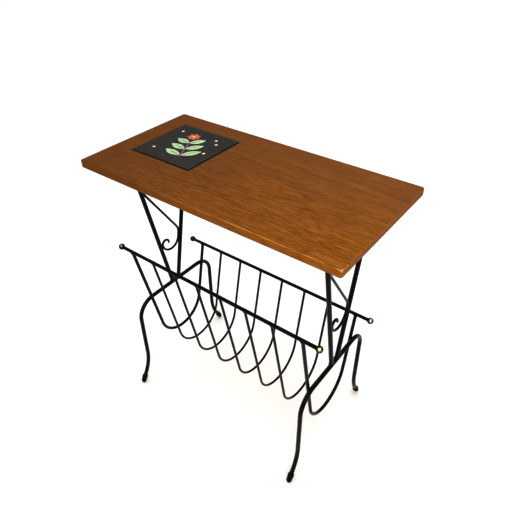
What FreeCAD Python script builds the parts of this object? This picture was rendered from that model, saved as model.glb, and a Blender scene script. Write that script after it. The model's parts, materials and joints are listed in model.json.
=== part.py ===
import FreeCAD, Part
import math
import os

from FreeCAD import Vector

# A magazine table: a veneered top with an inlaid tile, on two end frames of bent rod that carry
# a hanging rack of wire hoops. Sizes are in millimetres. The floor is z = 0, x runs along the top,
# the front is at -y, and the origin is on the floor under the middle of the top.

# Table top
table_height = 598.0
top_length = 571.0
top_width = 288.0
top_thickness = 16.0
corner_radius = 5.0
arris_radius = 1.2
lower_edge_radius = 3.5
veneer_thickness = 0.8
lipping_width = 8.0

# Inlaid tile, set in from the left end and from the back edge by the same distance
tile_side = 150.0
tile_thickness = 6.5
tile_proud = 2.0
tile_inset = 46.8
tile_corner_radius = 1.5
tile_arris_radius = 0.9
tile_clearance = 1.2
adhesive_thickness = 1.0

# Rods over their enamel: legs and struts, rails and end hoops, rack wires and scrolls
leg_rod = 9.2
rail_rod = 7.2
wire_rod = 5.2
weld_gap = 0.1

# Leg frames, each set in from an end of the top, with legs set in from its long edges
frame_inset = 63.0
leg_inset = 23.5
crossbar_height = 239.0
shoulder_radius = 44.0
toe_corner_height = 53.0
toe_bend_radius = 120.0
toe_angle = 30.0

# Foot caps
cap_length = 22.0
cap_wall = 2.1
cap_tip_wall = 1.1
cap_rim_wall = 0.7
cap_shoulder = 2.6
cap_flat_depth = 0.6

# Struts and the scrolls between them, with a scroll's heights as shares of a strut's rise;
# the right scroll was bent a little higher than the left one
strut_foot_gap = 10.0
strut_top_spread = 154.0
scroll_loop_share = 0.348
right_scroll_lift = 6.0
scroll_start_share = 0.813
scroll_corner_rise = 22.0
scroll_curl_radius = 9.5
scroll_curl_end_angle = 10.0
scroll_bend_share = 0.5

# Mounting plates and screws under the top
plate_width = 22.0
plate_thickness = 3.0
plate_corner_radius = 4.0
plate_end_margin = 10.0
screw_edge_margin = 19.0
screw_diameter = 3.5
screw_hole_clearance = 0.25
screw_tip_length = 2.0
screw_head_diameter = 7.0
screw_head_height = 2.4
screw_slot_width = 1.0
screw_slot_depth = 1.1
screw_bite_share = 0.8

# Rack, with its wires set out from the left end, which leaves the last gap wider
front_rail_height = 393.5
back_rail_height = 295.0
rail_overhang = 25.0
ball_diameter = 13.5
ball_bore_past_centre = 1.5
hoop_bottom_height = 95.0
hoop_bottom_radius = 67.5
hoop_arm_lean = 11.5
rack_wire_count = 6
last_gap_extra = 5.6

# Cope: how far short of the other rod's axis a welded end stops, as a share of that rod's radius
cope_share = 0.3
overrun = 5.0

# Places worked out from the sizes above
underside = table_height - top_thickness
plate_bottom = underside - plate_thickness
recess_depth = tile_thickness - tile_proud + adhesive_thickness
recess_floor = table_height - recess_depth
tile_bottom = recess_floor + adhesive_thickness
tile_x = -top_length / 2 + tile_inset + tile_side / 2
tile_y = top_width / 2 - tile_inset - tile_side / 2
frame_spread = top_length - 2 * frame_inset
leg_spread = top_width - 2 * leg_inset
rail_length = frame_spread + 2 * rail_overhang
strut_foot_offset = (strut_foot_gap + leg_rod) / 2
strut_top_offset = strut_top_spread / 2
screw_bite = (top_thickness - recess_depth) * screw_bite_share
screw_offset = strut_top_offset + screw_edge_margin
plate_length = 2 * (screw_offset + plate_end_margin)
hoop_centre_height = hoop_bottom_height + hoop_bottom_radius
end_hoop_x = frame_spread / 2 - (leg_rod + rail_rod) / 2 - weld_gap
hoop_pitch = (2 * end_hoop_x - last_gap_extra) / (rack_wire_count + 1)
ends = {"left": -1, "right": 1}
sides = {"front": -1, "back": 1}


def box(width, depth, height, low_x, low_y, low_z):
    return Part.makeBox(width, depth, height, Vector(low_x, low_y, low_z))


def prism(outline, bottom, height):
    """A straight-sided solid on a plan outline of (x, y) points."""
    points = [Vector(x, y, bottom) for x, y in outline]
    face = Part.Face(Part.makePolygon(points + points[:1]))
    return face.extrude(Vector(0, 0, height))


def upright_edges(shape, least_height):
    return [edge for edge in shape.Edges if edge.BoundBox.ZLength > least_height]


def level_edges(shape, height, tolerance):
    return [edge for edge in shape.Edges
            if edge.BoundBox.ZLength < tolerance and abs(edge.BoundBox.ZMin - height) < tolerance]


def bent_path(corners, radii):
    """Edges of straight runs through the corners, joined by tangent arcs of the given radii."""
    edges = []
    start = corners[0]
    for before, corner, after, radius in zip(corners, corners[1:], corners[2:], radii):
        into = (corner - before).normalize()
        out = (after - corner).normalize()
        half_turn = into.getAngle(out) / 2
        reach = radius * math.tan(half_turn)
        to_centre = (out - into).normalize()
        first = corner - into * reach
        middle = corner + to_centre * (radius / math.cos(half_turn) - radius)
        last = corner + out * reach
        edges.append(Part.LineSegment(start, first).toShape())
        edges.append(Part.Arc(first, middle, last).toShape())
        start = last
    edges.append(Part.LineSegment(start, corners[-1]).toShape())
    return edges


def rod_along(edges, diameter):
    """A round rod swept along edges that follow one another from the first edge's start."""
    start = edges[0].valueAt(edges[0].FirstParameter)
    heading = edges[0].tangentAt(edges[0].FirstParameter)
    section = Part.Wire(Part.Circle(start, heading, diameter / 2).toShape())
    return Part.Wire(edges).makePipeShell([section], True, True)


def straight_rod(start, end, diameter):
    return Part.makeCylinder(diameter / 2, (end - start).Length, start, end - start)


def turned(profile, axis):
    """A solid of revolution about an axis through the origin, from curves that close a profile."""
    face = Part.Face(Part.Wire([curve.toShape() for curve in profile]))
    return face.revolve(Vector(0, 0, 0), axis, 360)


def top_block():
    """The whole table top, crisp along its upper edges and rounder below, before it is split."""
    block = box(top_length, top_width, top_thickness, -top_length / 2, -top_width / 2, underside)
    block = block.makeFillet(corner_radius, upright_edges(block, top_thickness / 2))
    block = block.makeFillet(arris_radius, level_edges(block, table_height, arris_radius))
    return block.makeFillet(lower_edge_radius, level_edges(block, underside, arris_radius))


def slab(bottom, height):
    width = top_length + 2 * overrun
    depth = top_width + 2 * overrun
    return box(width, depth, height, -width / 2, -depth / 2, bottom)


def tile_recess():
    """The pocket for the tile and its adhesive, open at the top."""
    side = tile_side + 2 * tile_clearance
    height = recess_depth + overrun
    return box(side, side, height, tile_x - side / 2, tile_y - side / 2, recess_floor)


def tile():
    """The square tile with small rounded corners and a softened upper edge."""
    body = box(tile_side, tile_side, tile_thickness,
               tile_x - tile_side / 2, tile_y - tile_side / 2, tile_bottom)
    body = body.makeFillet(tile_corner_radius, upright_edges(body, tile_thickness / 2))
    rim = level_edges(body, tile_bottom + tile_thickness, tile_arris_radius / 2)
    return body.makeFillet(tile_arris_radius, rim)


def adhesive_bed():
    return box(tile_side, tile_side, adhesive_thickness,
               tile_x - tile_side / 2, tile_y - tile_side / 2, recess_floor)


def lipping_strip(block, name):
    """One mitred strip of the solid edging between the two veneers."""
    half_length = top_length / 2
    half_width = top_width / 2
    inner_length = half_length - lipping_width
    inner_width = half_width - lipping_width
    if name in sides:
        way = sides[name]
        outline = [(-half_length, way * half_width), (half_length, way * half_width),
                   (inner_length, way * inner_width), (-inner_length, way * inner_width)]
    else:
        way = ends[name]
        outline = [(way * half_length, -half_width), (way * half_length, half_width),
                   (way * inner_length, inner_width), (way * inner_length, -inner_width)]
    core_thickness = top_thickness - 2 * veneer_thickness
    return block.common(prism(outline, underside + veneer_thickness, core_thickness))


def screw_places():
    """Each screw's place in plan: three along each mounting plate."""
    return [(way * frame_spread / 2, y) for way in ends.values() for y in (-screw_offset, 0, screw_offset)]


def screw_body(x, y):
    """The screw above its head: a plain shank with a pointed tip, standing on the plate's lower face."""
    shank_length = plate_thickness + screw_bite - screw_tip_length
    radius = screw_diameter / 2
    up = Vector(0, 0, 1)
    shank = Part.makeCylinder(radius, shank_length, Vector(x, y, plate_bottom), up)
    tip_start = Vector(x, y, plate_bottom + shank_length)
    tip = Part.makeCone(radius, 0, screw_tip_length, tip_start, up)
    return shank.fuse(tip).removeSplitter()


def screw(x, y):
    """A slotted round-head wood screw that holds the top down onto a mounting plate."""
    radius = screw_head_diameter / 2
    dome_radius = (radius ** 2 + screw_head_height ** 2) / (2 * screw_head_height)
    half_angle = math.asin(radius / dome_radius) / 2
    seat = Vector(0, 0, 0)
    rim = Vector(radius, 0, 0)
    crown = Vector(0, 0, -screw_head_height)
    dome_centre = crown + Vector(0, 0, dome_radius)
    middle = dome_centre + Vector(math.sin(half_angle), 0, -math.cos(half_angle)) * dome_radius
    head = turned([Part.LineSegment(seat, rim), Part.Arc(rim, middle, crown),
                   Part.LineSegment(crown, seat)], Vector(0, 0, 1))
    slot_length = screw_head_diameter + 2 * overrun
    slot = box(screw_slot_width, slot_length, overrun + screw_slot_depth,
               -screw_slot_width / 2, -slot_length / 2, -screw_head_height - overrun)
    head = head.cut(slot)
    head.translate(Vector(x, y, plate_bottom))
    return head.fuse(screw_body(x, y)).removeSplitter()


def mounting_plate(way):
    """Flat steel strip on the strut tops, drilled for the screws."""
    x = way * frame_spread / 2
    plate = box(plate_width, plate_length, plate_thickness,
                x - plate_width / 2, -plate_length / 2, plate_bottom)
    plate = plate.makeFillet(plate_corner_radius, upright_edges(plate, plate_thickness / 2))
    hole_radius = screw_diameter / 2 + screw_hole_clearance
    for y in (-screw_offset, 0, screw_offset):
        start = Vector(x, y, plate_bottom - overrun)
        plate = plate.cut(Part.makeCylinder(hole_radius, plate_thickness + 2 * overrun, start))
    return plate


def table_top():
    """The top's pieces: core, veneers, lipping, tile and adhesive."""
    block = top_block()
    recess = tile_recess()
    screw_bodies = Part.makeCompound([screw_body(x, y) for x, y in screw_places()])
    core_thickness = top_thickness - 2 * veneer_thickness
    inner_length = top_length - 2 * lipping_width
    inner_width = top_width - 2 * lipping_width
    core = box(inner_length, inner_width, core_thickness,
               -inner_length / 2, -inner_width / 2, underside + veneer_thickness)
    upper = block.common(slab(table_height - veneer_thickness, veneer_thickness + overrun))
    lower = block.common(slab(underside - overrun, veneer_thickness + overrun))
    pieces = {
        "tabletop_core": core.cut(recess).cut(screw_bodies),
        "top_veneer": upper.cut(recess),
        "underside_veneer": lower.cut(screw_bodies),
        "inlay_tile": tile(),
        "tile_adhesive_bed": adhesive_bed(),
    }
    for name in list(sides) + list(ends):
        pieces[name + "_lipping"] = lipping_strip(block, name)
    return pieces


def toe_direction(side):
    """Unit vector down and outwards along a toe."""
    angle = math.radians(toe_angle)
    return Vector(0, side * math.sin(angle), -math.cos(angle))


def cap_tip_radius():
    return leg_rod / 2 + cap_tip_wall


def cap_tip_centre(way, side):
    """Centre of a foot cap's round tip, on the toe's axis and a little under a radius above the floor."""
    height = cap_tip_radius() - cap_flat_depth
    corner = Vector(way * frame_spread / 2, side * leg_spread / 2, toe_corner_height)
    toe = toe_direction(side)
    return corner + toe * ((toe_corner_height - height) / -toe.z)


def leg_frame(way):
    """One rod bent into a crossbar, two upright legs and two toes."""
    x = way * frame_spread / 2
    half = leg_spread / 2
    corners = [cap_tip_centre(way, -1),
               Vector(x, -half, toe_corner_height),
               Vector(x, -half, crossbar_height),
               Vector(x, half, crossbar_height),
               Vector(x, half, toe_corner_height),
               cap_tip_centre(way, 1)]
    radii = [toe_bend_radius, shoulder_radius, shoulder_radius, toe_bend_radius]
    return rod_along(bent_path(corners, radii), leg_rod)


def foot_cap(way, side):
    """Rubber cap pushed over a toe: a tapered sleeve with a collar, a round tip and a flat to stand on."""
    tip = cap_tip_radius()
    collar = leg_rod / 2 + cap_wall
    rim = leg_rod / 2 + cap_rim_wall
    shoulder_start = cap_length - tip - cap_shoulder
    rim_top = cap_length - tip
    bore = leg_rod / 2
    half_way = math.sqrt(tip * tip / 2)
    profile = [
        Part.LineSegment(Vector(0, 0, -tip), Vector(0, 0, 0)),
        Part.LineSegment(Vector(0, 0, 0), Vector(bore, 0, 0)),
        Part.LineSegment(Vector(bore, 0, 0), Vector(bore, 0, rim_top)),
        Part.LineSegment(Vector(bore, 0, rim_top), Vector(rim, 0, rim_top)),
        Part.LineSegment(Vector(rim, 0, rim_top), Vector(collar, 0, shoulder_start)),
        Part.LineSegment(Vector(collar, 0, shoulder_start), Vector(tip, 0, 0)),
        Part.Arc(Vector(tip, 0, 0), Vector(half_way, 0, -half_way), Vector(0, 0, -tip)),
    ]
    cap = turned(profile, Vector(0, 0, 1))
    centre = cap_tip_centre(way, side)
    turn = FreeCAD.Rotation(Vector(0, 0, 1), toe_direction(side) * -1)
    cap.Placement = FreeCAD.Placement(centre, turn)
    below = box(2 * cap_length, 2 * cap_length, cap_length,
                centre.x - cap_length, centre.y - cap_length, -cap_length)
    return cap.cut(below)


def strut_axis(way, side):
    """A strut's axis: a point on the crossbar's axis and a point in the plate's lower face."""
    x = way * frame_spread / 2
    foot = Vector(x, side * strut_foot_offset, crossbar_height)
    top = Vector(x, side * strut_top_offset, plate_bottom)
    return foot, top


def strut(way, side, frame):
    """A strut welded on the crossbar below and cut level under the mounting plate above."""
    foot, top = strut_axis(way, side)
    along = (top - foot).normalize()
    start = foot + along * (cope_share * leg_rod / 2)
    rod = straight_rod(start, top + along * leg_rod, leg_rod)
    above = box(2 * leg_rod, top_width, top_thickness + plate_thickness,
                top.x - leg_rod, -top_width / 2, plate_bottom)
    return rod.cut(above).cut(frame)


def scroll(way, front_strut):
    """Thin rod from the front strut across to the back one, round a loop that touches both, into a curl."""
    x = way * frame_spread / 2
    foot, top = strut_axis(way, sides["back"])
    along = (top - foot).normalize()
    lean = math.atan2(along.y, along.z)
    touch = (leg_rod + wire_rod) / 2 + weld_gap
    loop_rise = scroll_loop_share * (top.z - foot.z)
    if way == ends["right"]:
        loop_rise += right_scroll_lift
    strut_half = strut_foot_offset + loop_rise * math.tan(lean)
    loop_radius = strut_half * math.cos(lean) - touch
    centre = Vector(x, 0, crossbar_height + loop_rise)
    to_back = Vector(0, math.cos(lean), -math.sin(lean))
    to_front = Vector(0, -math.cos(lean), -math.sin(lean))
    back_touch = centre + to_back * loop_radius
    front_touch = centre + to_front * loop_radius

    corner = back_touch + along * scroll_corner_rise
    start_rise = scroll_start_share * (top.z - foot.z)
    start_half = strut_foot_offset + start_rise * math.tan(lean)
    start = Vector(x, -start_half, crossbar_height + start_rise)
    into = (corner - start).normalize()
    half_turn = into.getAngle(along * -1) / 2
    bend_radius = scroll_bend_share * scroll_corner_rise / math.tan(half_turn)
    edges = bent_path([start, corner, back_touch], [bend_radius])

    bottom = centre - Vector(0, 0, loop_radius)
    edges.append(Part.Arc(back_touch, bottom, front_touch).toShape())

    curl_centre = front_touch - to_front * scroll_curl_radius
    end_angle = math.radians(scroll_curl_end_angle)
    curl_top = curl_centre + Vector(0, 0, scroll_curl_radius)
    curl_end = curl_centre + Vector(0, math.cos(end_angle), -math.sin(end_angle)) * scroll_curl_radius
    edges.append(Part.Arc(front_touch, curl_top, curl_end).toShape())
    return rod_along(edges, wire_rod).cut(front_strut)


def hoop_half_width(height):
    """Distance from the rack's middle to a hoop's arm at a height on its straight part."""
    lean = math.radians(hoop_arm_lean)
    return hoop_bottom_radius / math.cos(lean) + (height - hoop_centre_height) * math.tan(lean)


def rail_axis_point(side, x):
    height = front_rail_height if side < 0 else back_rail_height
    return Vector(x, side * hoop_half_width(height), height)


def rail(side):
    half = rail_length / 2 + ball_bore_past_centre
    return straight_rod(rail_axis_point(side, -half), rail_axis_point(side, half), rail_rod)


def rail_ball(way, side):
    """Brass ball pushed onto a rail's end, bored to just past its centre."""
    radius = ball_diameter / 2
    bore = rail_rod / 2
    tip = Vector(radius, 0, 0)
    mouth = Vector(-math.sqrt(radius ** 2 - bore ** 2), 0, bore)
    bore_rim = Vector(ball_bore_past_centre, 0, bore)
    bore_end = Vector(ball_bore_past_centre, 0, 0)
    profile = [
        Part.Arc(tip, Vector(0, 0, radius), mouth),
        Part.LineSegment(mouth, bore_rim),
        Part.LineSegment(bore_rim, bore_end),
        Part.LineSegment(bore_end, tip),
    ]
    ball = turned(profile, Vector(1, 0, 0))
    turn = FreeCAD.Rotation(Vector(0, 0, 1), 0 if way > 0 else 180)
    ball.Placement = FreeCAD.Placement(rail_axis_point(side, way * rail_length / 2), turn)
    return ball


def hoop(x, diameter, rails):
    """A rack hoop: two leaning arms and a round bottom, coped to the underside of the rails."""
    lean = math.radians(hoop_arm_lean)
    short_of_axis = cope_share * rail_rod / 2
    ends_of_arms = {}
    bends = {}
    for side in sides.values():
        outward = Vector(0, side * math.cos(lean), -math.sin(lean))
        upward = Vector(0, side * math.sin(lean), math.cos(lean))
        bends[side] = Vector(x, 0, hoop_centre_height) + outward * hoop_bottom_radius
        ends_of_arms[side] = rail_axis_point(side, x) - upward * short_of_axis
    bottom = Vector(x, 0, hoop_bottom_height)
    edges = [Part.LineSegment(ends_of_arms[-1], bends[-1]).toShape(),
             Part.Arc(bends[-1], bottom, bends[1]).toShape(),
             Part.LineSegment(bends[1], ends_of_arms[1]).toShape()]
    return rod_along(edges, diameter).cut(rails)


def end_frames():
    """Leg frames, foot caps, struts, scrolls and mounting plates at both ends."""
    pieces = {}
    for end, way in ends.items():
        frame = leg_frame(way)
        pieces[end + "_leg_frame"] = frame
        for side_name, side in sides.items():
            pieces[end + "_" + side_name + "_strut"] = strut(way, side, frame)
            pieces[end + "_" + side_name + "_foot_cap"] = foot_cap(way, side)
        pieces[end + "_scroll"] = scroll(way, pieces[end + "_front_strut"])
        pieces[end + "_mounting_plate"] = mounting_plate(way)
    pieces["mounting_screws"] = Part.makeCompound([screw(x, y) for x, y in screw_places()])
    return pieces


def rack():
    """Rails, their brass balls, and the hoops that hang from them."""
    pieces = {}
    for side_name, side in sides.items():
        pieces[side_name + "_rail"] = rail(side)
        for end, way in ends.items():
            pieces[side_name + "_rail_" + end + "_ball"] = rail_ball(way, side)
    rails = Part.makeCompound([pieces["front_rail"], pieces["back_rail"]])
    for end, way in ends.items():
        pieces[end + "_end_hoop"] = hoop(way * end_hoop_x, rail_rod, rails)
    for number in range(1, rack_wire_count + 1):
        x = -end_hoop_x + number * hoop_pitch
        pieces["rack_wire_" + str(number)] = hoop(x, wire_rod, rails)
    return pieces


def main():
    os.makedirs("parts", exist_ok=True)
    pieces = {**table_top(), **end_frames(), **rack()}
    for name, shape in pieces.items():
        shape.exportStep(os.path.join("parts", name + ".step"))
        print(name, len(shape.Solids), "solids, volume", round(shape.Volume), "valid", shape.isValid())


main()
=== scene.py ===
# %% [markdown]
# # Dressing a magazine table
# The real table is a teak-veneered board with a picture tile let into it. It stands on two end
# frames of bent black rod, and a rack of wire hoops hangs between them for magazines.
# The solids come ready made as a fixed frame, in metres, with the floor at z = 0 and the front
# at -y. This lesson keeps those solids, gives each a finish, and models only what they lack:
# the raised glaze of the tile and the weld beads between the rods.

# %% Load the frame
import json
import math

import bmesh
import bpy
from mathutils import Matrix, Vector, noise


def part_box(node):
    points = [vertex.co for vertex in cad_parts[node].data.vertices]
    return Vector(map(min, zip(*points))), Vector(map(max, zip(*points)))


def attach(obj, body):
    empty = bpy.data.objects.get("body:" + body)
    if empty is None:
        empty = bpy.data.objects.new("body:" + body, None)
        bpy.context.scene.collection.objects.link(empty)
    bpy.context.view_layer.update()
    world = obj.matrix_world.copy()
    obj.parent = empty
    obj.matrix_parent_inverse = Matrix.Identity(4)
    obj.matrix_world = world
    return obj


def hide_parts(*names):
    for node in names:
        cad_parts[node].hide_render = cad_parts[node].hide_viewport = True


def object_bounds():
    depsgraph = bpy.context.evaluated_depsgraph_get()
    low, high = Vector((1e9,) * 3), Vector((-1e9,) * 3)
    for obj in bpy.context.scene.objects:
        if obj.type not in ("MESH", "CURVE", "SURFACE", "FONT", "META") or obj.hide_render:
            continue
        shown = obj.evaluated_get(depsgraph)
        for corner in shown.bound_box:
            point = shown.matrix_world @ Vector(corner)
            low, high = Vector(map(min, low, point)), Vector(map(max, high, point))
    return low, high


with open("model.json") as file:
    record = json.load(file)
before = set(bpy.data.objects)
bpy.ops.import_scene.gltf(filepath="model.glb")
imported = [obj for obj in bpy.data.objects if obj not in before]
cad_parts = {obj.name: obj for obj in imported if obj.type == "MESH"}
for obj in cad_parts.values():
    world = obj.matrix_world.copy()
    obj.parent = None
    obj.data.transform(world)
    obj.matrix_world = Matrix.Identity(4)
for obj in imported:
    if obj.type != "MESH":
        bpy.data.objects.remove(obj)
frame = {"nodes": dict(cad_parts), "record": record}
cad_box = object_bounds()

mm = 0.001
print("Loaded", len(frame["nodes"]), "solids in the box", cad_box)

# %% [markdown]
# ## The camera
# The photograph looks down on the table from its front right. The place, the direction and the
# focal length were fitted to the photograph's straight edges, with the square tile as the
# yardstick, and the direction was then trimmed on the whole picture. A camera can be aimed with
# a tracking constraint, but three plain turns are easier to read: one about the upright, one to
# tip it down, and a slight roll.

# %% Camera
camera_place = Vector((0.52411, -0.64943, 1.0363))
camera_turn = math.radians(37.47)
camera_dip = math.radians(36.95)
camera_roll = math.radians(-0.55)
focal_length_px = 511.6
picture_side_px = 512

camera_data = bpy.data.cameras.new("photo_camera")
camera_data.lens = camera_data.sensor_width * focal_length_px / picture_side_px
camera = bpy.data.objects.new("photo_camera", camera_data)
turns = Matrix.Rotation(camera_turn, 4, "Z") @ Matrix.Rotation(math.pi / 2 - camera_dip, 4, "X")
camera.matrix_world = Matrix.Translation(camera_place) @ turns @ Matrix.Rotation(camera_roll, 4, "Z")
bpy.context.scene.collection.objects.link(camera)
bpy.context.scene.camera = camera
print("Camera lens", round(camera_data.lens, 2), "mm")

# %% [markdown]
# ## Helpers for materials
# A finish is a small tree of nodes that ends in one shader. One small function adds a node to a
# tree, applies its settings, fills its sockets and gives back one of its outputs, so that a tree
# reads from top to bottom. Sockets are filled by name, or in the order that the node shows them:
# for Map Range that is the value, the range it comes from and the range it goes to. Colours are
# written in hex, as on a paint chart, and another helper turns them into the linear values that
# the shader works in.

# %% Material helpers
def linear(hex_colour):
    """A hex colour as linear red, green, blue and full alpha."""
    channels = [int(hex_colour[place:place + 2], 16) / 255 for place in (1, 3, 5)]
    return [c / 12.92 if c <= 0.04045 else ((c + 0.055) / 1.055) ** 2.4 for c in channels] + [1.0]


def fill(node, sockets):
    """Fill a node's sockets, by name or in order, with values or with other nodes' outputs."""
    named = sockets if isinstance(sockets, dict) else dict(enumerate(sockets))
    for socket, value in named.items():
        if isinstance(value, bpy.types.NodeSocket):
            node.id_data.links.new(value, node.inputs[socket])
        else:
            node.inputs[socket].default_value = value


def node_adder(tree):
    """The function that adds one node to a tree, with its settings and links, and gives an output."""
    def add_node(kind, sockets=(), output=0, **settings):
        node = tree.nodes.new("ShaderNode" + kind)
        for setting, value in settings.items():
            setattr(node, setting, value)
        fill(node, sockets)
        return node.outputs[output]
    return add_node


def new_material(name):
    """An empty finish: the material, its shader, and the function that adds a node to its tree."""
    material = bpy.data.materials.new(name)
    material.use_nodes = True
    return material, material.node_tree.nodes["Principled BSDF"], node_adder(material.node_tree)


print("Mid brown in linear light:", [round(c, 3) for c in linear("#8A4E1C")])

# %% [markdown]
# ## Floor and light
# The photograph is a cut-out on white, so the floor is a pale plain sheet that goes far past the
# frame. A wide sun overhead gives even light with soft shadows. A soft box at the front right
# warms that end of the top and draws the highlights along the rods. It is hidden from the camera,
# because other views look past it. Low views also look over the end of the floor, so what the
# camera sees of the world is white paper, while the world's own light stays a faint cool glow: a
# Light Path node tells the two apart. Last, the view gets the steep contrast of the photograph,
# in which thin black rods keep their full weight against white.

# %% Floor
floor_half_size = 9.0
floor_squares = 8
floor_mesh = bpy.data.meshes.new("floor")
shape = bmesh.new()
bmesh.ops.create_grid(shape, x_segments=floor_squares, y_segments=floor_squares, size=floor_half_size)
shape.to_mesh(floor_mesh)
shape.free()
floor = bpy.data.objects.new("floor", floor_mesh)
bpy.context.scene.collection.objects.link(floor)

paper_cloud_size = 0.9
floor_paper, shader, add_node = new_material("pale_studio_paper")
place = add_node("TexCoord", output="Object")
clouds = add_node("TexNoise", {"Vector": place, "Scale": 1 / paper_cloud_size})
tone = add_node("Mix", {0: clouds, 6: linear("#F0F0F0"), 7: linear("#F4F4F4")}, 2, data_type="RGBA")
fill(shader, {"Base Color": tone, "Roughness": 0.9, "Specular IOR Level": 0.1})
floor_mesh.materials.append(floor_paper)
print("Floor", 2 * floor_half_size, "m across")

# %% Lights
world_strength = 0.35
paper_strength = 1.1
sun_direction = Vector((-0.15, 0.1, 1.0))
sun_spread = math.radians(90)
sun_strength = 2.7
photo_contrast = 0.7

world = bpy.data.worlds.new("soft_studio")
bpy.context.scene.world = world
world.use_nodes = True
add_node = node_adder(world.node_tree)
glow = world.node_tree.nodes["Background"]
fill(glow, {"Color": linear("#F4F7FF"), "Strength": world_strength})
paper = add_node("Background", {"Color": linear("#FFFFFF"), "Strength": paper_strength})
seen = add_node("LightPath", output="Is Camera Ray")
shown = add_node("MixShader", [seen, glow.outputs["Background"], paper])
fill(world.node_tree.nodes["World Output"], {"Surface": shown})
bpy.context.scene.view_settings.view_transform = "Standard"
bpy.context.scene.view_settings.gamma = photo_contrast


def add_light(name, kind, aim, **settings):
    """A light of one kind that shines along a direction."""
    data = bpy.data.lights.new(name, kind)
    for setting, value in settings.items():
        setattr(data, setting, value)
    light = bpy.data.objects.new(name, data)
    light.rotation_euler = aim.to_track_quat("-Z", "Y").to_euler()
    light.visible_camera = False
    bpy.context.scene.collection.objects.link(light)
    return light


add_light("overhead_sun", "SUN", -sun_direction, angle=sun_spread, energy=sun_strength)
middle_of_top = Vector((0, 0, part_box("top_veneer")[1].z))
box_place = Vector((0.6, -0.85, 1.25))
box_side = 1.0
box_spread = math.radians(80)
box_power = 5
warm_white = linear("#FFEFDD")[:3]
box = add_light("front_right_box", "AREA", middle_of_top - box_place, size=box_side, spread=box_spread,
                energy=box_power, color=warm_white)
box.location = box_place

# %% [markdown]
# ## Teak
# Teak veneer is a thin sliced sheet, oiled to a satin sheen. Its figure is a cut through the
# tree's growth rings: a trunk narrows upwards, so a flat slice shows nested arches in the middle
# and straight lines beside them. Over that lie fine streaks and short open pores along the
# fibres. A wave texture would draw lines that are too even, so the rings are noise laid along
# the distance from the trunk's heart, and the streaks are noise drawn out along the grain.

# %% Sizes of the grain
top_half = Vector((cad_box[1][0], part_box("back_lipping")[1].y, 0))
top_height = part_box("top_veneer")[1].z
ring_length, ring_width = 900 * mm, 3.6 * mm
trunk_taper = 0.07
arches_to = 200 * mm
wander_length, wander_width = 200 * mm, 50 * mm
wander_reach = 7 * mm
cloud_length, cloud_width = 160 * mm, 24 * mm
streak_length, streak_width = 150 * mm, 2.6 * mm
pore_length, pore_width = 16 * mm, 1.2 * mm    # real pores are a quarter as wide, too fine to show
fleck_length, fleck_width = 45 * mm, 1.2 * mm
grain_depth = 0.12 * mm
print("Top", [round(2 * half, 3) for half in top_half.xy], "at", round(top_height, 3))

# %% Growth rings
def drawn_out(add_node, vector, length, width, detail):
    """Noise drawn out along the first axis, as fibres are."""
    stretch = (1 / length, 1 / width, 1 / width)
    drawn = add_node("Mapping", {"Vector": vector, "Scale": stretch})
    return add_node("TexNoise", {"Vector": drawn, "Scale": 1.0, "Detail": detail})


def growth_rings(add_node, along, heart_across, heart_depth):
    """Ring lines, by the distance from the heart of a leaning, wandering trunk."""
    run = add_node("SeparateXYZ", [along], "X")
    slow = drawn_out(add_node, along, wander_length, wander_width, 1.0)
    wander = add_node("MapRange", [slow, 0.25, 0.75, -wander_reach, wander_reach])
    taper = add_node("Math", [run, trunk_taper], operation="MULTIPLY")
    lean = add_node("CombineXYZ", [0, wander, taper])
    heart = (0, -heart_across, heart_depth - top_height)
    from_heart = add_node("Mapping", {"Vector": along, "Scale": (0, 1, 1), "Location": heart})
    from_heart = add_node("VectorMath", [from_heart, lean], operation="ADD")
    radius = add_node("VectorMath", [from_heart], "Value", operation="LENGTH")
    ring_place = add_node("CombineXYZ", [run, radius, 0])
    return drawn_out(add_node, ring_place, ring_length, ring_width, 2.0)


print("Rings about", round(ring_width / mm, 1), "mm wide")

# %% [markdown]
# ## Wear, painted highlight and painted shade on the top
# The right half saw the most use: its fibres are rubbed pale and the corner there is chipped. Its
# front arris, most towards the right, and the arris at the right end are painted pale as a highlight,
# and painted shade darkens the joint round the tile and the arris at the back and at the left.
# Such marks could be painted on by hand. Here each is worked out from where a point lies: along
# the top, or by its distance from an edge, a corner or the joint. So the marks keep to the edges
# of the solids.

# %% Sizes of the wear, the painted highlight and the painted shade
corner_radius = 5 * mm
arris_width = 1.2 * mm
highlight_patch_length, highlight_patch_width = 26 * mm, 4 * mm
highlight_depth = 40 * mm
lit_and_rubbed_from, lit_and_rubbed_to = -80 * mm, 270 * mm
highlight_from, highlight_to = -120 * mm, 80 * mm
left_shade_to = 30 * mm
chip_place = Vector((top_half.x, -top_half.y, top_height))
chip_reach, split_reach = 16 * mm, 6 * mm
chip_size = 2.4 * mm
tile_low, tile_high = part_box("inlay_tile")
tile_size = tile_high - tile_low
tile_middle = (tile_low + tile_high) / 2
tile_gap = 1.2 * mm
joint_shade_width = 2.1 * mm
print("Chipped corner near", [round(c, 3) for c in chip_place])

# %% Painted highlight, painted shade and chipped places
def distance_past(add_node, place, middle, half, radius):
    """How far a point lies outside a rectangle that is drawn in by a radius: that radius, at the edge."""
    inner = (half.x - radius, half.y - radius, 0)
    offset = add_node("VectorMath", [place, middle], operation="SUBTRACT")
    offset = add_node("VectorMath", [offset], operation="ABSOLUTE")
    offset = add_node("VectorMath", [offset, inner], operation="SUBTRACT")
    offset = add_node("VectorMath", [offset, (0, 0, 0)], operation="MAXIMUM")
    offset = add_node("VectorMath", [offset, (1, 1, 0)], operation="MULTIPLY")
    return add_node("VectorMath", [offset], "Value", operation="LENGTH")


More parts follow.
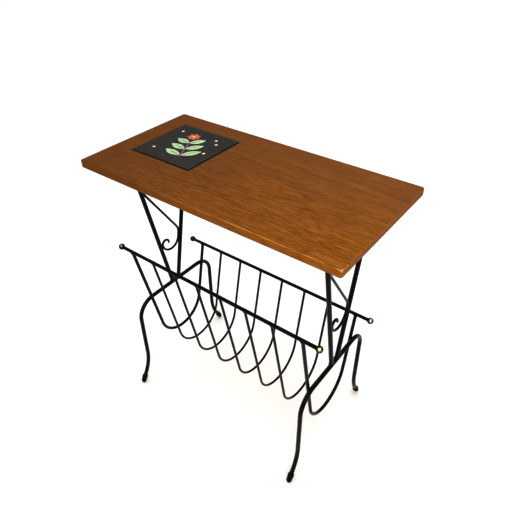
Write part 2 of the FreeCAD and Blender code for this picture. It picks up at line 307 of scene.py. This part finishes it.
def light_shade_and_chips(add_node, place, along):
    """How much each point gets a painted highlight, painted shade and chips, as three shares."""
    x, y, z = (add_node("SeparateXYZ", [place], axis) for axis in "XYZ")
    reach = distance_past(add_node, place, (0, 0, 0), top_half, corner_radius)
    rim = add_node("MapRange", [reach, corner_radius - arris_width, corner_radius - arris_width / 3])
    upper = add_node("MapRange", [z, top_height - arris_width, top_height - arris_width / 3])
    rim = add_node("Math", [rim, upper], operation="MULTIPLY")

    # Painted highlight on the arris at the front, most towards the right, and a little at the right end
    front = add_node("MapRange", [y, highlight_depth - top_half.y, highlight_depth / 2 - top_half.y])
    highlight_run = add_node("MapRange", [x, highlight_from, highlight_to, 0.1, 1.0])
    front = add_node("Math", [front, highlight_run], operation="MULTIPLY")
    right_end = [top_half.x - highlight_depth, top_half.x - highlight_depth / 2]
    right = add_node("MapRange", [x, *right_end, 0.0, 0.45])
    lit_arris = add_node("Math", [front, right], operation="MAXIMUM")
    patches = drawn_out(add_node, along, highlight_patch_length, highlight_patch_width, 2.0)
    patchy_highlight = add_node("MapRange", [patches, 0.4, 0.6, 0.15, 1.0])
    arris_highlight = add_node("Math", [lit_arris, patchy_highlight], operation="MULTIPLY")
    arris_highlight = add_node("Math", [arris_highlight, rim], operation="MULTIPLY")

    # Painted shade on the rest of the arris and in the joint round the tile
    painted_shade = add_node("MapRange", [lit_arris, 0.0, 0.4, 0.65, 0.0])
    painted_shade = add_node("Math", [painted_shade, rim], operation="MULTIPLY")
    from_joint = distance_past(add_node, place, tile_middle, tile_size / 2, 0)
    joint_band = [tile_gap + joint_shade_width / 3, tile_gap + joint_shade_width]
    joint_shade = add_node("MapRange", [from_joint, *joint_band, 0.95, 0.0])
    joint_shade = add_node("Math", [joint_shade, upper], operation="MULTIPLY")
    painted_shade = add_node("Math", [painted_shade, joint_shade], operation="MAXIMUM")

    # One corner has lost its arris in chips, and is split right at its point
    from_chip = add_node("VectorMath", [place, chip_place], "Value", operation="DISTANCE")
    chips = add_node("TexNoise", {"Vector": place, "Scale": 1 / chip_size, "Detail": 2.0})
    chips = add_node("MapRange", [chips, 0.42, 0.55])
    chipped = add_node("MapRange", [from_chip, chip_reach, chip_reach / 3])
    chipped = add_node("Math", [chipped, rim], operation="MULTIPLY")
    split = add_node("MapRange", [from_chip, split_reach, split_reach / 3])
    chipped = add_node("Math", [chipped, split], operation="MAXIMUM")
    chipped = add_node("Math", [chipped, chips], operation="MULTIPLY")
    return arris_highlight, painted_shade, chipped


# How far the painted shade reaches past the tile's joint
print("Grime reaches", round(joint_shade_width / mm, 1), "mm past the tile's joint")

# %% Teak
def teak(name, grain_turn, heart_across, heart_depth, dark, middle, light, lit_golden, pale_wear_and_highlight):
    """Oiled teak: satin, uneven in gloss along the fibres, with its grain turned from the x axis."""
    material, shader, add_node = new_material(name)
    place = add_node("TexCoord", output="Object")
    along = add_node("Mapping", {"Vector": place, "Rotation": (0, 0, grain_turn)})
    x, y = (add_node("SeparateXYZ", [place], axis) for axis in "XY")
    rings = growth_rings(add_node, along, heart_across, heart_depth)
    clouds = drawn_out(add_node, along, cloud_length, cloud_width, 2.0)
    streaks = drawn_out(add_node, along, streak_length, streak_width, 3.0)
    pores = drawn_out(add_node, along, pore_length, pore_width, 1.0)
    flecks = drawn_out(add_node, along, fleck_length, fleck_width, 2.0)

    # The top is painted lighter towards the right, where the light falls, and its fibres are rubbed most
    # there. Its figure is plainer at the back and the left, and the arches fade towards the right
    lit_and_rubbed = add_node("MapRange", [x, lit_and_rubbed_from, lit_and_rubbed_to, 0.15, 1.0])
    calm = add_node("MapRange", [y, -top_half.y / 2, top_half.y, 1.0, 0.35])
    figured = add_node("MapRange", [x, -top_half.x, 0, 0.6, 1.0])
    figured = add_node("Math", [figured, calm], operation="MULTIPLY")
    arched = add_node("MapRange", [x, arches_to / 3, arches_to, 1.0, 0.3])
    arched = add_node("Math", [figured, arched], operation="MULTIPLY")

    # Ground: soft clouds of two browns, painted lighter and golden towards the front and the right, where
    # the light falls
    share = add_node("MapRange", [clouds, 0.35, 0.65])
    tone = add_node("Mix", {0: share, 6: linear(middle), 7: linear(light)}, 2, data_type="RGBA")
    share = add_node("MapRange", [y, -top_half.y * 0.7, top_half.y * 0.7, 0.9, 0.0])
    share = add_node("Math", [share, lit_and_rubbed], operation="MULTIPLY")
    tone = add_node("Mix", {0: share, 6: tone, 7: linear(lit_golden)}, 2, data_type="RGBA")

    # Dark lines, then pale flecks of rubbed fibre, then painted shade that darkens the left end
    dark_lines = ((streaks, 0.5, 0.36, 0.25, figured), (rings, 0.48, 0.38, 0.5, arched),
                  (pores, 0.48, 0.62, 0.66, figured))
    for lines, none_at, full_at, strength, where in dark_lines:
        share = add_node("MapRange", [lines, none_at, full_at, 0.0, strength])
        share = add_node("Math", [share, where], operation="MULTIPLY")
        tone = add_node("Mix", {0: share, 6: tone, 7: linear(dark)}, 2, data_type="RGBA")
    share = add_node("MapRange", [flecks, 0.47, 0.62, 0.0, 0.4])
    clusters = add_node("MapRange", [clouds, 0.4, 0.6, 0.75, 1.0])
    for part in (clusters, lit_and_rubbed, calm):
        share = add_node("Math", [share, part], operation="MULTIPLY")
    tone = add_node("Mix", {0: share, 6: tone, 7: linear(pale_wear_and_highlight)}, 2, data_type="RGBA")
    share = add_node("MapRange", [x, -top_half.x, left_shade_to, 0.3, 0.0])
    tone = add_node("Mix", {0: share, 6: tone, 7: linear(dark)}, 2, data_type="RGBA")

    # Painted highlight and painted shade on the arris and round the tile, and the chips, lie over all of
    # that
    arris_highlight, painted_shade, chipped = light_shade_and_chips(add_node, place, along)
    for share, colour in ((arris_highlight, pale_wear_and_highlight), (painted_shade, "#3C332B"), (chipped, "#D2AC78")):
        tone = add_node("Mix", {0: share, 6: tone, 7: linear(colour)}, 2, data_type="RGBA")

    gloss = add_node("MapRange", [streaks, 0.3, 0.7, 0.46, 0.6])
    height = add_node("MapRange", [pores, 0.55, 0.75, 1.0, 0.0])
    bump = add_node("Bump", {"Height": height, "Strength": 0.35, "Distance": grain_depth})
    fill(shader, {"Base Color": tone, "Roughness": gloss, "Normal": bump})
    fill(shader, {"IOR": 1.5, "Specular IOR Level": 0.06})
    return material


veneer_heart = (-12 * mm, 42 * mm)
plain_heart = (-600 * mm, 0)    # a trunk's heart far to one side leaves only straight lines
# In each call below, the fourth tone is a golden tone painted on as light, and the fifth is pale, for
# wear and for the painted arris highlight
veneer = teak("oiled_teak_veneer", 0, *veneer_heart,
              "#533510", "#78512D", "#80562C", "#885500", "#B48C5A")
long_lipping = teak("oiled_teak_lipping_long", 0, *plain_heart,
                    "#623F16", "#7E511E", "#87581F", "#8E5C18", "#B8864B")
short_lipping = teak("oiled_teak_lipping_short", math.pi / 2, *plain_heart,
                     "#6C4828", "#885A32", "#966738", "#966738", "#B98C60")
backing = teak("plain_backing_veneer", 0, *plain_heart,
               "#7A5630", "#93693D", "#A57C4D", "#A57C4D", "#A57C4D")
print("Teak finishes:", veneer.name, long_lipping.name, short_lipping.name, backing.name)

# %% [markdown]
# ## Black enamel
# The rods were welded first and then dipped or brushed with black enamel, so the coat runs over
# the welds and pulls thin in places. It is a dark paint with a satin gloss: nearly all that the
# eye sees of it is reflection, so the unevenness belongs in the roughness and the bump.

# %% Black enamel
peel_size = 2.5 * mm
peel_depth = 0.03 * mm
thin_patch_size = 40 * mm

enamel, shader, add_node = new_material("satin_black_enamel")
place = add_node("TexCoord", output="Object")
peel = add_node("TexNoise", {"Vector": place, "Scale": 1 / peel_size, "Detail": 2.0})
patches = add_node("TexNoise", {"Vector": place, "Scale": 1 / thin_patch_size, "Detail": 4.0})
tone = add_node("Mix", {0: patches, 6: linear("#020202"), 7: linear("#070808")}, 2, data_type="RGBA")
gloss = add_node("MapRange", [patches, 0.3, 0.7, 0.2, 0.36])
bump = add_node("Bump", {"Height": peel, "Strength": 0.25, "Distance": peel_depth})
fill(shader, {"Base Color": tone, "Roughness": gloss, "Normal": bump, "Specular IOR Level": 0.18})
print("Enamel:", enamel.name)

# %% [markdown]
# ## Brass, rubber and the hidden parts
# The rail ends are solid brass balls under clear lacquer. Their colour is painted bright on the upper
# front side, where the highlight falls, and most at the right; the rest is painted dark as shade, most
# at the left and the back, over dark tarnish spots near the rail. The feet are moulded rubber.
# The core board, the adhesive and the screws hardly show, but each gets the finish of what it is.

# %% Brass
tarnish_size = 3.5 * mm
ball_low, ball_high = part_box("front_rail_right_ball")
ball_radius = (ball_high.z - ball_low.z) / 2
ball_centre = ball_high.x - ball_radius
rail_reach = -(ball_low.y + ball_high.y) / 2
highlight_side = Vector((0.3, -0.6, 0.75)).normalized()

brass, shader, add_node = new_material("lacquered_brass_painted_highlight")
place = add_node("TexCoord", output="Object")
spots = add_node("TexNoise", {"Vector": place, "Scale": 1 / tarnish_size, "Detail": 3.0})
outwards = add_node("SeparateXYZ", [add_node("VectorMath", [place], operation="ABSOLUTE")], "X")
# Painted highlight: the side that faces the light is painted bright, and the rest is painted dark as
# shade
facing = add_node("TexCoord", output="Normal")
facing = add_node("VectorMath", [facing, highlight_side], "Value", operation="DOT_PRODUCT")
away_from_highlight = add_node("MapRange", [facing, 0.95, 0.6])
ball_middle = [ball_centre - ball_radius / 2, ball_centre + ball_radius / 2]
near_rail = add_node("MapRange", [outwards, *ball_middle, 1.0, 0.2])
tarnish_and_shade = add_node("Math", [near_rail, spots], operation="MULTIPLY")
tarnish_and_shade = add_node("Math", [tarnish_and_shade, away_from_highlight], operation="ADD")
x, y = (add_node("SeparateXYZ", [place], axis) for axis in "XY")
shade_left_and_back = add_node("MapRange", [x, -ball_centre, ball_centre, 0.35, 0.0])
shade_to_back = add_node("MapRange", [y, -rail_reach, rail_reach, 0.8, 2.0])
shade_left_and_back = add_node("Math", [shade_left_and_back, shade_to_back], operation="MULTIPLY")
tarnish_and_shade = add_node("Math", [tarnish_and_shade, shade_left_and_back], operation="ADD", use_clamp=True)
# The pale colour is the painted highlight; the dark one is tarnish and painted shade
tone = add_node("Mix", {0: tarnish_and_shade, 6: linear("#DCD2B4"), 7: linear("#281E0E")}, 2, data_type="RGBA")
gloss = add_node("MapRange", [spots, 0.3, 0.7, 0.18, 0.34])
fill(shader, {"Base Color": tone, "Roughness": gloss, "Metallic": 1.0})
fill(shader, {"Specular Tint": linear("#3A2E18"), "Coat Weight": 0.4, "Coat Roughness": 0.12})
print("Brass balls of radius", round(ball_radius / mm, 2), "mm centred at x =", round(ball_centre, 4))

# %% Rubber, core, adhesive and screws
def mottled(name, speck_size, dark, light, roughness, metallic=0.0, sheen_level=0.5):
    """A plain stuff with specks of one size: rubber, pressed board, dried glue or dull steel."""
    material, shader, add_node = new_material(name)
    place = add_node("TexCoord", output="Object")
    specks = add_node("TexNoise", {"Vector": place, "Scale": 1 / speck_size, "Detail": 4.0})
    tone = add_node("Mix", {0: specks, 6: linear(dark), 7: linear(light)}, 2, data_type="RGBA")
    bump = add_node("Bump", {"Height": specks, "Strength": 0.3, "Distance": speck_size / 20})
    fill(shader, {"Base Color": tone, "Normal": bump, "Roughness": roughness, "Metallic": metallic,
                  "Specular IOR Level": sheen_level})
    return material


mould_grain = 2 * mm
board_chip = 4 * mm
glue_lump = 6 * mm
zinc_bloom = 3 * mm
rubber = mottled("moulded_black_rubber", mould_grain, "#030303", "#0A0A0A", 0.5, sheen_level=0.15)
core_board = mottled("pressed_core_board", board_chip, "#8A6A42", "#B49466", 0.85)
adhesive = mottled("dried_tile_adhesive", glue_lump, "#8C877A", "#A8A394", 0.9)
screw_steel = mottled("dull_zinc_plate", zinc_bloom, "#77756F", "#9B9994", 0.45, metallic=1.0)
print("Plain finishes:", rubber.name, core_board.name, adhesive.name, screw_steel.name)

# %% [markdown]
# ## The tile
# The tile is fired clay under a charcoal satin glaze, with painted shade darkening its rim, and
# its picture is laid on in thicker coloured glazes that stand up from it. The solid tile's upper
# face is the highest point of the whole table, so a slightly lower tile takes its place here and
# the raised glaze fills the difference. A painted texture would stay flat in the light; small
# raised shapes catch it. The picture is a plain leaf sprig with a blossom and berries.

# %% Glazes
glaze_height = 0.35 * mm
tile_corner_radius = 1.5 * mm
tile_arris_radius = 0.9 * mm
tile_rim_shade_width = 0.9 * mm
tile_face = tile_high.z - glaze_height


def glaze(name, cloud_size, dark, light, roughness, rim=None):
    """Fired glaze: a glassy skin, cloudy where it pooled, with painted shade as a darker rim on the tile
    itself.
    """
    material, shader, add_node = new_material(name)
    place = add_node("TexCoord", output="Object")
    clouds = add_node("TexNoise", {"Vector": place, "Scale": 1 / cloud_size, "Detail": 3.0})
    share = add_node("MapRange", [clouds, 0.35, 0.65])
    tone = add_node("Mix", {0: share, 6: linear(dark), 7: linear(light)}, 2, data_type="RGBA")
    # A given rim colour is painted shade on the tile's edge
    if rim:
        reach = distance_past(add_node, place, tile_middle, tile_size / 2, tile_corner_radius)
        share = add_node("MapRange", [reach, tile_corner_radius - tile_rim_shade_width, tile_corner_radius])
        tone = add_node("Mix", {0: share, 6: tone, 7: linear(rim)}, 2, data_type="RGBA")
    bump = add_node("Bump", {"Height": clouds, "Strength": 0.2, "Distance": cloud_size / 100})
    fill(shader, {"Base Color": tone, "Normal": bump, "Roughness": roughness, "Specular IOR Level": 0.12})
    return material


ground_cloud, raised_cloud = 9 * mm, 7 * mm
satin, shiny = 0.45, 0.3
# The charcoal tile's rim colour is painted shade
charcoal_glaze = glaze("charcoal_satin_glaze", ground_cloud, "#353534", "#3D3D3B", satin, rim="#2D2D2C")
mint_glaze = glaze("mint_raised_glaze", raised_cloud, "#98B78D", "#B1C9A4", shiny)
mauve_glaze = glaze("mauve_raised_glaze", raised_cloud, "#75616D", "#907783", shiny)
coral_glaze = glaze("coral_raised_glaze", raised_cloud, "#BD5F46", "#C9775B", shiny)
straw_glaze = glaze("straw_raised_glaze", raised_cloud, "#C6BA7C", "#C9C99F", shiny)
print("Glazes:", [m.name for m in bpy.data.materials if m.name.endswith("glaze")])

# %% A helper that finishes a new piece
def finish_piece(shape, name, material):
    """Turn a bmesh into a smooth piece of the table that rides on its one body."""
    bmesh.ops.recalc_face_normals(shape, faces=shape.faces)
    mesh = bpy.data.meshes.new(name)
    shape.to_mesh(mesh)
    shape.free()
    mesh.materials.append(material)
    mesh.shade_smooth()
    piece = bpy.data.objects.new(name, mesh)
    bpy.context.scene.collection.objects.link(piece)
    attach(piece, "root")
    print("Made", name, "with", len(mesh.polygons), "faces")
    return piece


# %% Tile body
corner_facets, arris_facets = 5, 4
shape = bmesh.new()
bmesh.ops.create_cube(shape, size=1.0)
bmesh.ops.scale(shape, verts=shape.verts, vec=(tile_size.x, tile_size.y, tile_size.z - glaze_height))
uprights = [e for e in shape.edges if abs(e.verts[0].co.z - e.verts[1].co.z) > tile_size.z / 2]
bmesh.ops.bevel(shape, geom=uprights, offset=tile_corner_radius, offset_type="OFFSET",
                segments=corner_facets, profile=0.5, affect="EDGES", material=-1)
rim = [e for e in shape.edges if min(v.co.z for v in e.verts) > 0]
bmesh.ops.bevel(shape, geom=rim, offset=tile_arris_radius, offset_type="OFFSET",
                segments=arris_facets, profile=0.5, affect="EDGES", material=-1)
centre = (tile_middle.x, tile_middle.y, (tile_low.z + tile_face) / 2)
bmesh.ops.translate(shape, verts=shape.verts, vec=centre)
tile = finish_piece(shape, "glazed_tile", charcoal_glaze)
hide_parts("inlay_tile")

# %% Raised shapes
glaze_sink = 0.1 * mm
glaze_steps = ((0.65, 0.95), (0.35, 0.78))    # share of the rise, and how far the step draws in
leaf_corners, berry_corners = 32, 24
drawing = Matrix.Translation((tile_middle.x, tile_middle.y, tile_face - glaze_sink))


def raise_glaze(shape, face, share):
    """Lift a flat face into a low cushion of glaze, in two steps that draw in as they rise."""
    for rise, draw_in in glaze_steps:
        # With its edges given too, a face that has walls below it isn't left inside the cushion
        lifted = bmesh.ops.extrude_face_region(shape, geom=[face, *face.edges])["geom"]
        face = next(part for part in lifted if isinstance(part, bmesh.types.BMFace))
        about_centre = Matrix.Translation(-face.calc_center_median())
        bmesh.ops.scale(shape, verts=face.verts, vec=(draw_in, draw_in, 1), space=about_centre)
        step = rise * share * (glaze_height + glaze_sink)
        bmesh.ops.translate(shape, verts=face.verts, vec=(0, 0, step))


def leaf(shape, base, angle, length, width, share=1.0):
    """A pointed leaf from its base, drawn from a circle whose ends are pinched."""
    made = bmesh.ops.create_circle(shape, cap_ends=True, segments=leaf_corners, radius=0.5)["verts"]
    for corner in made:
        corner.co.y *= 2 * abs(corner.co.y)
    fit = Matrix.Diagonal((length, width, 1, 1)) @ Matrix.Translation((0.5, 0, 0))
    turn = Matrix.Rotation(math.radians(angle), 4, "Z")
    to_base = drawing @ Matrix.Translation((*base, 0))
    bmesh.ops.transform(shape, verts=made, matrix=to_base @ turn @ fit)
    raise_glaze(shape, made[0].link_faces[0], share)


def berry(shape, centre, radius):
    """A round dot of glaze."""
    made = bmesh.ops.create_circle(shape, cap_ends=True, segments=berry_corners, radius=radius)["verts"]
    bmesh.ops.transform(shape, verts=made, matrix=drawing @ Matrix.Translation((*centre, 0)))
    raise_glaze(shape, made[0].link_faces[0], 1.0)


print("The picture's middle is at", [round(v, 4) for v in drawing.translation])

# %% Leaf sprig
sprig_foot = Vector((26, -52)) * mm
sprig_tip = Vector((-8, 24)) * mm
sprig_run = sprig_tip - sprig_foot
sprig_angle = math.degrees(math.atan2(sprig_run.y, sprig_run.x))
leaf_pairs = 3
leaf_length, leaf_width = 42 * mm, 18 * mm
leaf_open_angle = 58
stem_width, rib_width = 3.6 * mm, 2.8 * mm
low_share, rib_share = 0.8, 0.75
first_pair_share = 0.45
lowest_leaf_share, leaf_shrink_share = 1.1, 0.3

leaves = bmesh.new()
ribs = bmesh.new()
leaf(ribs, sprig_foot, sprig_angle, sprig_run.length, stem_width, rib_share)
for pair in range(leaf_pairs):
    share = (pair + first_pair_share) / leaf_pairs
    base = sprig_foot + sprig_run * share
    length = leaf_length * (lowest_leaf_share - leaf_shrink_share * share)
    for side in (-1, 1):
        angle = sprig_angle + side * leaf_open_angle
        leaf(leaves, base, angle, length, leaf_width, low_share)
        leaf(ribs, base, angle, length * rib_share, rib_width)
finish_piece(leaves, "tile_leaves", mint_glaze)
finish_piece(ribs, "tile_stem_and_ribs", mauve_glaze)

# %% Blossom and berries
petal_count = 7
petal_length, petal_width = 15 * mm, 8.5 * mm
blossom_gap = 16 * mm
blossom_centre = sprig_tip + sprig_run.normalized() * blossom_gap
berry_radius = 3.4 * mm
berry_places = ((48, 36), (-52, 46), (-48, -42), (54, -8), (36, 50))

petals = bmesh.new()
for petal in range(petal_count):
    leaf(petals, blossom_centre, petal * 360 / petal_count, petal_length, petal_width, low_share)
finish_piece(petals, "tile_blossom", coral_glaze)

berries = bmesh.new()
berry(berries, blossom_centre, berry_radius)
for place in berry_places:
    berry(berries, Vector(place) * mm, berry_radius)
finish_piece(berries, "tile_berries", straw_glaze)

# %% [markdown]
# ## Weld beads
# Each rod end is welded to the next rod, and the bead shows under the enamel as a small uneven
# collar. A collar is a profile turned about the rod's axis, which is what spin does, and a
# little noise makes each one lumpy. All the beads of one kind share one piece.

# %% Weld collars
collar_steps = 20
lump_share, lump_size_share = 0.16, 1.6


def weld_collar(shape, place, along, rod_radius, reach, height):
    """A lumpy collar round a rod that ends at a place, on the side that the rod leaves along."""
    profile = [(0, -height), (rod_radius + reach, -height / 2), (rod_radius + reach * 0.9, 0),
               (rod_radius + reach * 0.35, height * 0.45), (rod_radius, height), (0, height)]
    corners = [shape.verts.new((radius, 0, rise)) for radius, rise in profile]
    edges = [shape.edges.new(pair) for pair in zip(corners, corners[1:])]
    bmesh.ops.spin(shape, geom=corners + edges, cent=(0, 0, 0), axis=(0, 0, 1), angle=2 * math.pi,
                   steps=collar_steps, use_merge=True)
    bmesh.ops.remove_doubles(shape, verts=[v for v in shape.verts if not v.tag], dist=reach / 100)
    made = [v for v in shape.verts if not v.tag]
    for vert in made:
        lump = noise.noise((vert.co + place) / (lump_size_share * reach))
        vert.co.xy *= 1 + lump_share * lump
        vert.tag = True
    turn = along.to_track_quat("Z", "Y").to_matrix().to_4x4()
    bmesh.ops.transform(shape, verts=made, matrix=Matrix.Translation(place) @ turn)


wire_count = 6
wires = ["rack_wire_%d" % (number + 1) for number in range(wire_count)]
hoops = ["left_end_hoop", "right_end_hoop"] + wires
hoop_lean = math.radians(11.5)
rack_bead_reach, rack_bead_height = 1.3 * mm, 2.6 * mm
rail_seat_share = 0.85

beads = bmesh.new()
for hoop in hoops:
    low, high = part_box(hoop)
    hoop_radius = (high.x - low.x) / 2
    for side, rail in ((-1, "front_rail"), (1, "back_rail")):
        rail_low, rail_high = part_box(rail)
        rail_radius = (rail_high.z - rail_low.z) / 2
        axis = (rail_low + rail_high) / 2
        down = Vector((0, -side * math.sin(hoop_lean), -math.cos(hoop_lean)))
        seat = Vector(((low.x + high.x) / 2, axis.y, axis.z)) + down * (rail_radius * rail_seat_share)
        weld_collar(beads, seat, down, hoop_radius, rack_bead_reach, rack_bead_height)
finish_piece(beads, "rack_weld_beads", enamel)

# %% Welds on the end frames
foot_bead_reach, foot_bead_height = 1.4 * mm, 2.6 * mm
top_bead_reach, top_bead_height = 1.2 * mm, 2.2 * mm
foot_axis_share, top_axis_share = 0.82, 1.02    # from the side of a strut's box to its axis, in rod radii
crossbar_seat_share = 0.95

beads = bmesh.new()
for end in ("left", "right"):
    frame_low, frame_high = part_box(end + "_leg_frame")
    leg_radius = (frame_high.x - frame_low.x) / 2
    crossbar = frame_high.z - leg_radius
    for side, side_name in ((-1, "front"), (1, "back")):
        low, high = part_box(end + "_" + side_name + "_strut")
        inner, outer = sorted((low.y, high.y), key=abs)
        x = (low.x + high.x) / 2
        foot = Vector((x, inner + side * leg_radius * foot_axis_share, crossbar))
        top = Vector((x, outer - side * leg_radius * top_axis_share, high.z))
        along = (top - foot).normalized()
        seat = foot + along * (leg_radius * crossbar_seat_share)
        weld_collar(beads, seat, along, leg_radius, foot_bead_reach, foot_bead_height)
        weld_collar(beads, top, -along, leg_radius, top_bead_reach, top_bead_height)
finish_piece(beads, "frame_weld_beads", enamel)

# %% [markdown]
# ## Give every solid its finish
# The solids arrive with one material slot each, so a finish is put into that slot and nothing
# about the solid itself is touched.

# %% Assign the finishes
finishes = {"teak_veneer": veneer, "backing_veneer": backing, "core_board": core_board,
            "tile_glaze": charcoal_glaze, "tile_adhesive": adhesive, "black_enamel": enamel,
            "foot_rubber": rubber, "aged_brass": brass, "screw_steel": screw_steel}
slot_of = {part["node"]: part["material_slot"] for part in frame["record"]["subparts"]}
for name, solid in frame["nodes"].items():
    if slot_of[name] == "teak_lipping":
        finish = long_lipping if name.startswith(("front", "back")) else short_lipping
    else:
        finish = finishes[slot_of[name]]
    for slot in solid.material_slots:
        slot.material = finish
print("Finished", len(frame["nodes"]), "solids")

# %% [markdown]
# ## The size
# The view layer is brought up to date. The dressed table must stay in the box of the bare
# solids.

# %% Sizes
bpy.context.view_layer.update()
